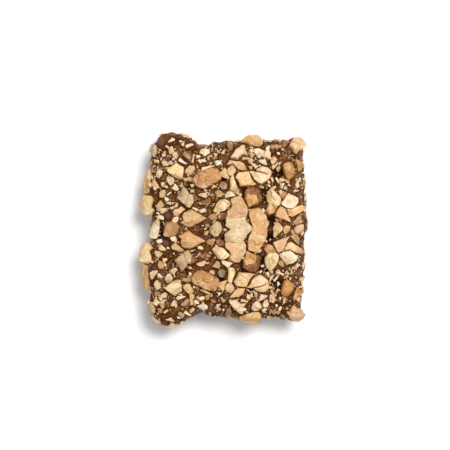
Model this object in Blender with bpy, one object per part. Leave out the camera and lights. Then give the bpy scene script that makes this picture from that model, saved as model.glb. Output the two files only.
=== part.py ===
"""English toffee: one square of toffee in a chocolate coat, covered with chopped almonds.

Blender 4.5, metres, +Z up. The piece lies flat, with the side that the photograph shows on top:
+X is the picture's right and +Y the top of the picture. The origin is the middle of the face
that the piece rests on. The almonds are half sunk in the chocolate, so coat and almonds are one
solid. The photograph's piece looks the same above and below its middle line, so each almond
that is placed by eye comes once on either side of that line.
"""

import math
import random
from collections import namedtuple

import bmesh
import bpy
from mathutils import Matrix, Vector, noise

MM = 0.001

# Toffee slab with its chocolate coat. It is a box with bulging sides and rounded edges.
SLAB_WIDTH = 38.6 * MM
SLAB_LENGTH = 44.6 * MM
SLAB_TOP = 11.6 * MM
SLAB_FOOT = 0.4 * MM
SLAB_WAIST = 5.0 * MM
CORNER_SQUARENESS = 7.0
TOP_SQUARENESS = 6.0
FOOT_SQUARENESS = 9.0
RISE = SLAB_TOP - SLAB_WAIST
DROP = SLAB_WAIST - SLAB_FOOT
SLAB_STEPS = (12, 12, 4)
STEP_BUNCHING = 0.85

# Where the outline swells and dips: direction from the middle, spread in degrees, and amount.
SWELLS = (
    (122, 8, 2.4 * MM),
    (133, 8, 1.0 * MM),
    (107, 5, -1.7 * MM),
    (96, 9, -0.4 * MM),
    (38, 9, -0.3 * MM),
    (0, 20, 0.3 * MM),
    (172, 10, -0.2 * MM),
)
LUMP = 0.22 * MM
LUMP_SPACING = 5.0 * MM
LUMP_FADE = 2.0 * MM

# Chopped almonds
STAND_SHARE = 0.6
THICKNESS_SHARE = 0.66
THICKEST = 3.0 * MM
THINNEST = 0.9 * MM
LEAN_SPREAD = 9.0
TABLE = 0.0

# How an almond was chopped. Each cut is (direction in degrees, distance, lean in degrees) in a
# block one unit long, wide and thick. A leaning cut slopes in towards the almond's top, and the
# last cut shaves one side of that top.
CUTS = {
    "block": ((4, 0.49, 10), (94, 0.48, 16), (184, 0.49, 8), (268, 0.48, 13), (47, 0.60, 24), (200, 0.47, 40)),
    "chip": ((12, 0.49, 14), (80, 0.48, 9), (150, 0.50, 20), (218, 0.51, 11), (292, 0.48, 16), (40, 0.46, 34)),
    "kite": ((40, 0.40, 13), (131, 0.37, 19), (215, 0.40, 11), (321, 0.37, 16), (84, 0.49, 28), (250, 0.44, 40)),
    "wedge": ((30, 0.27, 14), (149, 0.27, 11), (269, 0.45, 18), (92, 0.47, 9), (300, 0.46, 46)),
    "moon": ((18, 0.47, 24), (62, 0.45, 20), (118, 0.45, 22), (162, 0.47, 24), (270, 0.40, 8), (100, 0.46, 42)),
    "oval": ((2, 0.50, 26), (52, 0.47, 24), (128, 0.47, 26), (178, 0.50, 24), (232, 0.47, 22), (308, 0.47, 26)),
    "drop": ((180, 0.50, 24), (118, 0.45, 22), (242, 0.45, 20), (64, 0.33, 16), (296, 0.33, 18), (50, 0.36, 44)),
    "sliver": ((8, 0.50, 12), (86, 0.46, 20), (175, 0.50, 16), (264, 0.46, 14), (60, 0.46, 50)),
    "nib": ((6, 0.46, 16), (97, 0.42, 12), (193, 0.45, 18), (281, 0.43, 10), (60, 0.47, 36)),
    "flake": ((12, 0.31, 14), (128, 0.30, 18), (246, 0.32, 12), (170, 0.42, 40)),
}

Almond = namedtuple("Almond", "kind x y length width turn height tilt", defaults=(None, 0))

# The almonds that stand out, by eye, in millimetres and degrees. One with a height hangs over the
# rim, tilted outwards. These lie above the middle line, and again below it.
PAIRED = (
    Almond("drop", -18.7, 19.9, 3.9, 2.2, -86, 9.2, 50),
    Almond("drop", -19.4, 12.0, 8.0, 3.0, 84, 8.6, 48),
    Almond("oval", -19.9, 6.0, 5.0, 4.6, 70, 8.8, 42),
    Almond("drop", 6.1, 21.8, 6.4, 3.4, 184, 10.2, 26),
    Almond("chip", 17.0, 20.9, 5.0, 4.1, -24, 9.9, 24),
    Almond("chip", -6.1, 19.0, 2.9, 2.2, 0),
    Almond("wedge", -13.4, 18.4, 2.4, 1.8, 120),
    Almond("kite", -10.6, 18.4, 2.7, 2.5, -30),
    Almond("nib", -15.8, 16.4, 2.2, 1.5, -10),
    Almond("kite", -13.1, 14.5, 5.0, 4.8, 0),
    Almond("oval", -9.7, 14.7, 2.9, 2.1, 25),
    Almond("drop", -17.2, 13.8, 3.1, 1.9, -80),
    Almond("sliver", -10.4, 12.4, 2.8, 1.4, 15),
    Almond("oval", -5.7, 12.7, 8.0, 5.0, 9),
    Almond("moon", -14.5, 12.0, 3.2, 1.9, -72),
    Almond("nib", -13.5, 10.4, 2.1, 1.7, -35),
    Almond("wedge", -18.1, 11.2, 2.5, 2.1, 20),
    Almond("kite", -10.2, 7.8, 6.0, 5.0, -28),
    Almond("moon", -6.4, 8.6, 2.9, 1.8, -18),
    Almond("chip", -5.9, 6.6, 3.6, 2.4, 10),
    Almond("nib", -2.5, 8.8, 2.0, 1.7, -10),
    Almond("nib", -1.4, 10.8, 2.5, 2.1, 70),
    Almond("nib", -16.6, 8.6, 2.5, 1.9, 60),
    Almond("wedge", -16.9, 6.2, 2.4, 2.2, 0),
    Almond("sliver", -12.4, 4.5, 4.0, 2.0, 30),
    Almond("nib", -16.1, 4.6, 2.2, 1.7, 10),
    Almond("nib", -13.3, 2.4, 2.0, 1.7, 20),
    Almond("drop", -8.8, 2.7, 6.8, 5.0, -6),
    Almond("block", -1.5, 6.0, 5.1, 3.3, 26),
    Almond("nib", -3.9, 3.2, 2.7, 1.4, -5),
    Almond("nib", -1.6, 3.3, 2.3, 1.8, 15),
    Almond("nib", 0.4, 20.7, 2.5, 2.0, 80),
    Almond("chip", 0.8, 14.6, 2.9, 2.4, 90),
    Almond("drop", 1.2, 11.4, 4.9, 2.7, 100),
    Almond("wedge", -0.9, 13.9, 2.6, 2.6, -30),
    Almond("nib", 0.1, 8.7, 2.9, 1.7, 12),
    Almond("wedge", 3.0, 19.3, 4.9, 3.7, -14),
    Almond("chip", 7.5, 19.0, 3.2, 2.6, -20),
    Almond("nib", 9.8, 18.3, 2.0, 2.0, 40),
    Almond("nib", 11.3, 17.1, 2.5, 1.8, 55),
    Almond("moon", 2.8, 15.9, 4.9, 2.3, -32),
    Almond("block", 4.4, 12.4, 5.1, 4.2, -22),
    Almond("oval", 8.1, 13.4, 6.3, 4.4, 6),
    Almond("drop", 15.0, 14.8, 5.1, 3.7, -86),
    Almond("sliver", 17.5, 16.0, 3.9, 2.2, -62),
    Almond("block", 6.0, 7.9, 5.2, 4.7, 82),
    Almond("kite", 11.1, 7.0, 7.6, 4.4, 82),
    Almond("block", 15.4, 7.1, 4.7, 4.1, -14),
    Almond("nib", 13.5, 8.6, 2.1, 1.9, 20),
    Almond("sliver", 16.7, 4.5, 5.1, 2.2, 24),
    Almond("kite", 13.2, 3.9, 4.5, 3.0, -52),
    Almond("chip", 2.3, 5.6, 5.6, 5.4, 96),
    Almond("nib", 17.2, 2.9, 2.4, 2.1, 60),
    Almond("moon", 11.9, 20.4, 3.4, 1.8, 6),
)

# These lie across the middle line.
CENTRED = (
    Almond("oval", -18.2, 0.0, 5.0, 1.9, 90),
    Almond("chip", -14.4, 0.0, 4.0, 3.6, 90),
    Almond("kite", -3.0, 0.0, 4.0, 3.8, 0),
    Almond("drop", 2.5, 0.0, 7.2, 8.0, 0),
    Almond("oval", 7.7, 0.0, 11.6, 5.2, 90),
    Almond("kite", 12.4, 0.0, 4.4, 3.6, 90),
    Almond("nib", 14.7, 0.0, 2.3, 2.5, 0),
    Almond("sliver", 17.4, 0.0, 4.4, 2.8, 90),
)

# Almonds that fill the gaps on top, and those on the sides and underneath, by a rule
SEED = 7
DARTS = 400
SMALL_KINDS = ("flake", "nib", "nib", "sliver", "wedge")
Spread = namedtuple("Spread", "count largest smallest crowding")
TOP_SPREAD = Spread(42, 1.9, 1.4, 0.9)
SIDE_SPREAD = Spread(58, 4.2, 1.8, 0.84)
FOOT_SPREAD = Spread(36, 5.2, 2.2, 0.84)
WIDTH_SHARE = (0.6, 0.95)
TOP_REACH = 0.93
FOOT_REACH = 0.84
SIDE_LOW = 1.4 * MM
SIDE_HIGH = 9.4 * MM
SIDE_STAND = (0.35 * MM, 0.85 * MM)
FOOT_STAND = 0.75 * MM

CHOCOLATE_COLOUR = (0.098, 0.037, 0.014, 1.0)
ALMOND_COLOUR = (0.72, 0.46, 0.23, 1.0)
CHOCOLATE_ROUGHNESS = 0.38
ALMOND_ROUGHNESS = 0.6
SMOOTH_ANGLE = math.radians(28)


def clear_scene():
    for thing in list(bpy.data.objects):
        bpy.data.objects.remove(thing)


def finish(name, colour, roughness):
    """A plain material with this colour and roughness."""
    made = bpy.data.materials.new(name)
    made.use_nodes = True
    shader = made.node_tree.nodes["Principled BSDF"]
    shader.inputs["Base Color"].default_value = colour
    shader.inputs["Roughness"].default_value = roughness
    shader.inputs["Metallic"].default_value = 0.0
    return made


def reach(angle):
    """How far the slab's outline is from its middle in this direction."""
    across = abs(math.cos(angle)) / (SLAB_WIDTH / 2)
    along = abs(math.sin(angle)) / (SLAB_LENGTH / 2)
    far = (across**CORNER_SQUARENESS + along**CORNER_SQUARENESS) ** (-1 / CORNER_SQUARENESS)
    for direction, spread, amount in SWELLS:
        off = (abs(math.degrees(angle)) - direction) / spread
        far += amount * math.exp(-off * off)
    return far


def fullness(x, y):
    """0 at the middle of the slab, and 1 at its outline."""
    return math.hypot(x, y) / reach(math.atan2(y, x))


def lump(place):
    """How far the coat stands out of its plain form here. It fades out towards the flat foot."""
    fade = min(1.0, max(0.0, (place.z - SLAB_FOOT) / LUMP_FADE))
    return LUMP * fade * noise.noise(place / LUMP_SPACING)


def on_coat(direction):
    """The point of the coat in this direction from the slab's middle."""
    flat = fullness(direction.x, direction.y)
    if direction.z > 0:
        tall, power = direction.z / RISE, TOP_SQUARENESS
    else:
        tall, power = -direction.z / DROP, FOOT_SQUARENESS
    place = direction / (flat**power + tall**power) ** (1 / power)
    place.z += SLAB_WAIST
    return place


def outward(place):
    """The direction straight out of the coat at this point."""
    step = 0.2 * MM
    offset = place - Vector((0, 0, SLAB_WAIST))
    sides = []
    for axis in (Vector((step, 0, 0)), Vector((0, step, 0)), Vector((0, 0, step))):
        more = on_coat(offset + axis) - Vector((0, 0, SLAB_WAIST))
        less = on_coat(offset - axis) - Vector((0, 0, SLAB_WAIST))
        sides.append((offset + axis).length / more.length - (offset - axis).length / less.length)
    return Vector(sides).normalized()


def top_of_coat(x, y):
    """The point of the coat's upper side above x, y, which lie inside the outline."""
    share = (1 - fullness(x, y) ** TOP_SQUARENESS) ** (1 / TOP_SQUARENESS)
    return Vector((x, y, SLAB_WAIST + RISE * share))


def side_of_coat(angle, height):
    """The point of the coat's side in this direction, at this height."""
    if height > SLAB_WAIST:
        share = (1 - ((height - SLAB_WAIST) / RISE) ** TOP_SQUARENESS) ** (1 / TOP_SQUARENESS)
    else:
        share = (1 - ((SLAB_WAIST - height) / DROP) ** FOOT_SQUARENESS) ** (1 / FOOT_SQUARENESS)
    far = reach(angle) * share
    return Vector((far * math.cos(angle), far * math.sin(angle), height))


def make_slab(name, materials):
    """The toffee slab in its chocolate coat, with its rows of faces closest near the edges."""
    bend = STEP_BUNCHING * math.pi / 2
    shape = bmesh.new()
    bmesh.ops.create_cube(shape, size=2.0)
    for axis, steps in enumerate(SLAB_STEPS):
        for step in range(1, steps):
            place, normal = Vector(), Vector()
            place[axis] = math.sin(bend * (2.0 * step / steps - 1.0)) / math.sin(bend)
            normal[axis] = 1.0
            everything = shape.verts[:] + shape.edges[:] + shape.faces[:]
            bmesh.ops.bisect_plane(shape, geom=everything, plane_co=place, plane_no=normal)
    for corner in shape.verts:
        height = corner.co.z * (RISE if corner.co.z > 0 else DROP)
        plain = Vector((corner.co.x * SLAB_WIDTH / 2, corner.co.y * SLAB_LENGTH / 2, height))
        place = on_coat(plain)
        corner.co = place + outward(place) * lump(place)
    return as_object(name, shape, materials, 0)


def as_object(name, shape, materials, slot):
    """Turns the shape into an object whose faces all have one of the two materials."""
    bmesh.ops.recalc_face_normals(shape, faces=shape.faces)
    for face in shape.faces:
        face.material_index = slot
    mesh = bpy.data.meshes.new(name)
    shape.to_mesh(mesh)
    shape.free()
    for material in materials:
        mesh.materials.append(material)
    made = bpy.data.objects.new(name, mesh)
    bpy.context.scene.collection.objects.link(made)
    return made


def slice_off(shape, place, normal):
    """Cuts away all that lies beyond a plane, and closes the cut."""
    everything = shape.verts[:] + shape.edges[:] + shape.faces[:]
    cut = bmesh.ops.bisect_plane(
        shape, geom=everything, plane_co=place, plane_no=normal, clear_outer=True, dist=0.001 * MM
    )
    rim = [part for part in cut["geom_cut"] if isinstance(part, bmesh.types.BMEdge)]
    if rim:
        bmesh.ops.contextual_create(shape, geom=rim)


def chop(kind):
    """A block one unit each way, chopped to this kind of almond."""
    shape = bmesh.new()
    bmesh.ops.create_cube(shape, size=1.0)
    for direction, distance, lean in CUTS[kind]:
        turn, tip = math.radians(direction), math.radians(lean)
        flat = Vector((math.cos(turn), math.sin(turn), 0))
        normal = flat * math.cos(tip) + Vector((0, 0, math.sin(tip)))
        slice_off(shape, flat * distance, normal)
    return shape


def thickness_of(width):
    return min(THICKEST, max(THINNEST, THICKNESS_SHARE * width))


def seating(place, normal, turn, thickness, stand_out, lean):
    """Puts an almond in the coat so that it stands out of it by this much, turned about the normal."""
    stand = normal.to_track_quat("Z", "Y").to_matrix()
    across = Vector((1, 0, 0)) - normal * normal.x
    if across.length > 0.1:
        across.normalize()
        stand = Matrix((across, normal.cross(across), normal)).transposed()
    tip = Matrix.Rotation(lean[0], 3, "X") @ Matrix.Rotation(lean[1], 3, "Y")
    turned = stand @ tip @ Matrix.Rotation(math.radians(turn), 3, "Z")
    return Matrix.Translation(place + normal * (stand_out - thickness / 2)) @ turned.to_4x4()


def add_almond(name, almond, thickness, seat, materials):
    """One almond as an object. What would reach below the table is pressed flat on it."""
    shape = chop(almond.kind)
    size = Matrix.Diagonal((almond.length * MM, almond.width * MM, thickness, 1))
    shape.transform(seat @ size)
    if min(corner.co.z for corner in shape.verts) < TABLE:
        slice_off(shape, Vector((0, 0, TABLE)), Vector((0, 0, -1)))
    return as_object(name, shape, materials, 1)


def random_lean(dice):
    return [math.radians(dice.uniform(-LEAN_SPREAD, LEAN_SPREAD)) for _ in range(2)]


def upper_seat(almond, dice):
    """Where an almond on the upper side lies."""
    thickness = thickness_of(almond.width * MM)
    stand_out = STAND_SHARE * thickness
    x, y = almond.x * MM, almond.y * MM
    if almond.height:
        aside = side_of_coat(math.atan2(y, x), SLAB_WAIST)
        aside = outward(aside) * math.sin(math.radians(almond.tilt))
        normal = Vector((aside.x, aside.y, math.cos(math.radians(almond.tilt))))
        middle = Vector((x, y, almond.height * MM))
        place = middle + normal * (thickness / 2 - stand_out)
    else:
        place = top_of_coat(x, y)
        normal = outward(place)
    return seating(place, normal, almond.turn, thickness, stand_out, random_lean(dice)), thickness


def random_almond(dice, size):
    width = size * dice.uniform(*WIDTH_SHARE)
    return dice.choice(SMALL_KINDS), size, width, dice.uniform(0, 360)


def throw(dice, spread, pick, taken):
    """Picks spots for this many almonds, the largest first, each clear of those already there."""
    for number in range(spread.count):
        size = spread.largest + (spread.smallest - spread.largest) * number / (spread.count - 1)
        for _ in range(DARTS):
            spot = pick(dice)
            room = [(spot - other).length - spread.crowding * MM * (size + wide) / 2 for other, wide in taken]
            if min(room, default=1.0) > 0:
                taken.append((spot, size))
                yield spot, size
                break


def pick_top(dice):
    """A spot on the upper side."""
    while True:
        x = dice.uniform(-0.5, 0.5) * SLAB_WIDTH
        y = dice.uniform(-0.5, 0.5) * SLAB_LENGTH
        if fullness(x, y) < TOP_REACH:
            return top_of_coat(x, y)


def pick_side(dice):
    """A spot on one of the four sides, evenly along the outline."""
    half_width, half_length = SLAB_WIDTH / 2, SLAB_LENGTH / 2
    along = dice.uniform(-1, 1)
    if dice.random() < half_length / (half_length + half_width):
        corner = (dice.choice((-1, 1)) * half_width, along * half_length)
    else:
        corner = (along * half_width, dice.choice((-1, 1)) * half_length)
    return side_of_coat(math.atan2(corner[1], corner[0]), dice.uniform(SIDE_LOW, SIDE_HIGH))


def pick_foot(dice):
    """A spot on the underside."""
    while True:
        x = dice.uniform(-0.5, 0.5) * SLAB_WIDTH
        y = dice.uniform(-0.5, 0.5) * SLAB_LENGTH
        if fullness(x, y) < FOOT_REACH:
            return Vector((x, y, SLAB_FOOT))


def add_almonds(materials):
    """All the almonds, as a list of objects."""
    dice = random.Random(SEED)
    made, taken = [], []
    seen = [almond for pair in PAIRED for almond in (pair, pair._replace(y=-pair.y, turn=-pair.turn))]
    for almond in seen + list(CENTRED):
        seat, thickness = upper_seat(almond, dice)
        made.append(add_almond(f"almond_{len(made)}", almond, thickness, seat, materials))
        taken.append((seat.translation.copy(), (almond.length + almond.width) / 2))
    for spot, size in throw(dice, TOP_SPREAD, pick_top, taken):
        kind, length, width, turn = random_almond(dice, size)
        almond = Almond(kind, spot.x / MM, spot.y / MM, length, width, turn)
        seat, thickness = upper_seat(almond, dice)
        made.append(add_almond(f"almond_{len(made)}", almond, thickness, seat, materials))
    for spot, size in throw(dice, SIDE_SPREAD, pick_side, taken):
        kind, length, width, turn = random_almond(dice, size)
        almond = Almond(kind, 0, 0, length, width, turn)
        thickness = thickness_of(width * MM)
        stand_out = dice.uniform(*SIDE_STAND)
        seat = seating(spot, outward(spot), turn, thickness, stand_out, random_lean(dice))
        made.append(add_almond(f"almond_{len(made)}", almond, thickness, seat, materials))
    under = [(Vector((0, 0, SLAB_FOOT)), FOOT_SPREAD.largest)]
    first = Almond("block", 0, 0, FOOT_SPREAD.largest, FOOT_SPREAD.largest * WIDTH_SHARE[1], 0)
    down = Vector((0, 0, -1))
    pressed = [(first, under[0][0])]
    for spot, size in throw(dice, FOOT_SPREAD, pick_foot, under):
        kind, length, width, turn = random_almond(dice, size)
        pressed.append((Almond(kind, 0, 0, length, width, turn), spot))
    for almond, spot in pressed:
        thickness = thickness_of(almond.width * MM)
        seat = seating(spot, down, almond.turn, thickness, FOOT_STAND, (0.0, 0.0))
        made.append(add_almond(f"almond_{len(made)}", almond, thickness, seat, materials))
    return made


def fuse(slab, almonds):
    """Joins the almonds to the slab in one union, and keeps its outer skin."""
    group = bpy.data.collections.new("almonds")
    bpy.context.scene.collection.children.link(group)
    for almond in almonds:
        group.objects.link(almond)
        bpy.context.scene.collection.objects.unlink(almond)
    union = slab.modifiers.new("union", "BOOLEAN")
    union.operation = "UNION"
    union.operand_type = "COLLECTION"
    union.collection = group
    union.solver = "EXACT"
    bpy.context.view_layer.objects.active = slab
    bpy.ops.object.modifier_apply(modifier=union.name)
    for almond in almonds:
        bpy.data.objects.remove(almond)
    bpy.data.collections.remove(group)
    keep_outer_skin(slab.data)


def keep_outer_skin(mesh):
    """Drops the loose scraps, and the walls of hollows that the almonds close off."""
    shape = bmesh.new()
    shape.from_mesh(mesh)
    left, skins = set(shape.faces), []
    while left:
        skin, front = set(), [next(iter(left))]
        while front:
            face = front.pop()
            if face in left:
                left.remove(face)
                skin.add(face)
                front += [other for edge in face.edges for other in edge.link_faces]
        skins.append(skin)
    skins.sort(key=len)
    spare = [face for skin in skins[:-1] for face in skin]
    bmesh.ops.delete(shape, geom=spare, context="FACES")
    shape.to_mesh(mesh)
    shape.free()


def main():
    clear_scene()
    materials = [
        finish("chocolate", CHOCOLATE_COLOUR, CHOCOLATE_ROUGHNESS),
        finish("almond", ALMOND_COLOUR, ALMOND_ROUGHNESS),
    ]
    slab = make_slab("english_toffee", materials)
    fuse(slab, add_almonds(materials))
    slab.data.shade_smooth()
    slab.data.set_sharp_from_angle(angle=SMOOTH_ANGLE)


main()
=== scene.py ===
"""Looks of one english toffee: a chocolate-coated square of toffee covered with chopped almonds.

Metres, +Z up. The camera looks straight down, so +X is the picture's right and +Y its top. The coat
and the almonds follow the solid's own rules, so that each lies where the solid has it. The piece in
the photograph looks the same above and below its middle line, so each almond that is listed one by one
is modelled once and laid once on either side of that line.
"""

import math
import random
from collections import namedtuple
from itertools import accumulate

import bmesh
import bpy
from mathutils import Matrix, Vector, noise
from mathutils.bvhtree import BVHTree


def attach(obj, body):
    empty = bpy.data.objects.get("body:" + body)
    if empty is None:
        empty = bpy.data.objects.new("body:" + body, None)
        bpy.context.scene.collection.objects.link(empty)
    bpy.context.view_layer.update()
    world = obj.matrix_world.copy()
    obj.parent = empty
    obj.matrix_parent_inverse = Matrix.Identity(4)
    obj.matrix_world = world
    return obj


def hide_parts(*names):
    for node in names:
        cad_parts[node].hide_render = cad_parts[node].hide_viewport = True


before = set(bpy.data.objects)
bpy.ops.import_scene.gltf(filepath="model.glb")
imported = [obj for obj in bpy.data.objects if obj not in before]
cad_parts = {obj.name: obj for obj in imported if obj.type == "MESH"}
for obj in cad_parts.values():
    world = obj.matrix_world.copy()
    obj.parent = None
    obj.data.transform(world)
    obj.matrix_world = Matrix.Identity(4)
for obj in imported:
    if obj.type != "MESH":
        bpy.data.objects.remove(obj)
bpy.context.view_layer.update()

MM = 0.001
TENTH = 0.1 * MM
UP = Vector((0, 0, 1))

# Toffee slab with its chocolate coat, as in the solid: a box with bulging sides and rounded edges
SLAB_WIDTH = 38.6 * MM
SLAB_LENGTH = 44.6 * MM
SLAB_TOP = 11.6 * MM
SLAB_FOOT = 0.4 * MM
SLAB_WAIST = 5.0 * MM
WAIST = Vector((0, 0, SLAB_WAIST))
CORNER_SQUARENESS = 7.0
TOP_SQUARENESS = 6.0
FOOT_SQUARENESS = 9.0
RISE = SLAB_TOP - SLAB_WAIST
DROP = SLAB_WAIST - SLAB_FOOT

# Where the outline swells and dips: direction from the middle, spread in degrees, and amount.
SWELLS = (
    (122, 8, 2.4 * MM),
    (133, 8, 1.0 * MM),
    (107, 5, -1.7 * MM),
    (96, 9, -0.4 * MM),
    (38, 9, -0.3 * MM),
    (0, 20, 0.3 * MM),
    (172, 10, -0.2 * MM),
)
LUMP = 0.22 * MM
LUMP_SPACING = 5.0 * MM
LUMP_FADE = 2.0 * MM
SLOPE_STEP = 0.2 * MM

# The coat's mesh is cut evenly, then more finely along and across, and closest near the edges.
COAT_CUTS = 31
COAT_FINER = 4
COAT_BUNCHING = 0.6
ALONG_AXIS = 0.9

# The coat climbs up the almonds. Painted shade darkens its colour near them and in its hollows.
MENISCUS = 0.3 * MM
MENISCUS_REACH = 1.1 * MM
NEAR_SHADE = 0.82
HOLLOW_DARK = 0.6 * MM
COAT_WAVES = ((1.4 * MM, 0.34 * MM), (0.5 * MM, 0.14 * MM))

# Dark hollows between the almonds, and chocolate that holds up those at the rim, with a depth below
# zero. Each is x, y, radius and depth in millimetres, and again below.
# The darkness that the hollows give the coat's colour is painted shade.
HOLLOWS = (
    (9.0, 7.4, 1.0, 0.8), (9.1, 9.6, 0.9, 0.6), (10.7, 2.0, 1.2, 0.8), (12.8, 13.6, 1.3, 0.9),
    (4.1, 9.3, 0.9, 0.7), (-1.6, 12.6, 0.8, 0.7), (5.9, 15.0, 0.9, 0.5), (10.6, 9.8, 0.9, 0.4),
    (-5.1, 0.3, 1.0, 0.5), (-16.6, 1.0, 0.8, 0.6), (-10.2, 10.3, 0.8, 0.4), (-0.9, 2.0, 0.7, 0.5),
    (17.4, 21.0, 2.2, -1.5), (6.1, 22.0, 2.2, -0.6), (-19.4, 10.5, 2.2, -0.6), (-19.4, 5.6, 1.8, -0.6),
)

# Where the chocolate is lightened by fine dust, the two on the right shoulder also by painted sheen: x, y
# and radius in millimetres, and again below
DUST_AND_SHEEN_PATCHES = (
    (17.8, 12.0, 3.0), (19.0, 6.0, 2.0), (-15.6, 12.6, 1.2), (-15.5, 18.0, 1.1), (-4.0, 19.5, 1.0),
    (-16.0, 4.0, 1.5), (-12.0, 0.5, 1.0), (-5.0, 1.5, 1.0),
)
DUST_AND_SHEEN_FADE = 5.0 * MM

# Chopped almonds, as in the solid
STAND_SHARE = 0.6
THICKNESS_SHARE = 0.66
THICKEST = 3.0 * MM
THINNEST = 0.9 * MM
LEAN_SPREAD = 9.0
LEAST_ACROSS = 0.1
TABLE = 0.0

# How the smaller almonds were chopped. Each cut is (direction in degrees, distance, lean in
# degrees) in a block one unit long, wide and thick.
CUTS = {
    "block": ((4, 0.49, 10), (94, 0.48, 16), (184, 0.49, 8), (268, 0.48, 13), (47, 0.60, 24),
              (200, 0.47, 40)),
    "wedge": ((30, 0.27, 14), (149, 0.27, 11), (269, 0.45, 18), (92, 0.47, 9), (300, 0.46, 46)),
    "sliver": ((8, 0.50, 12), (86, 0.46, 20), (175, 0.50, 16), (264, 0.46, 14), (60, 0.46, 50)),
    "nib": ((6, 0.46, 16), (97, 0.42, 12), (193, 0.45, 18), (281, 0.43, 10), (60, 0.47, 36)),
    "flake": ((12, 0.31, 14), (128, 0.30, 18), (246, 0.32, 12), (170, 0.42, 40)),
}

# Colours of the chopped almonds' faces
TONES = {
    "white": (0.87, 0.745, 0.555),
    "cream": (0.84, 0.665, 0.44),
    "butter": (0.86, 0.69, 0.40),
    "ivory": (0.79, 0.64, 0.42),
    "vanilla": (0.90, 0.75, 0.48),
    "honey": (0.80, 0.565, 0.30),
    "straw": (0.70, 0.54, 0.34),
    "peach": (0.74, 0.51, 0.30),
    "pink": (0.74, 0.51, 0.35),
    "golden": (0.63, 0.365, 0.13),
    "tan": (0.65, 0.425, 0.205),
    "toasted": (0.60, 0.355, 0.145),
    "orange": (0.60, 0.34, 0.135),
    "amber": (0.54, 0.29, 0.10),
    "ash": (0.58, 0.435, 0.275),
    "olive": (0.58, 0.43, 0.235),
    "grey": (0.50, 0.385, 0.255),
    "hazel": (0.48, 0.30, 0.14),
    "dull": (0.43, 0.235, 0.09),
    "drab": (0.31, 0.195, 0.085),
    "dusky": (0.22, 0.13, 0.058),
    "brown": (0.24, 0.10, 0.04),
    "stained": (0.10, 0.05, 0.032),
}

# How far a tone varies, how much paler it gets towards one end, and how much more so each of its
# three colours
TONE_LIGHT = (0.92, 1.08)
TONE_COOL = (0.93, 1.01)
TONE_SLOPE = 0.1
TONE_CURVES = (1.0, 1.6, 2.6)

Almond = namedtuple("Almond", "x y length width tone outline height tilt skin", defaults=(None, 0, ()))
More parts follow.
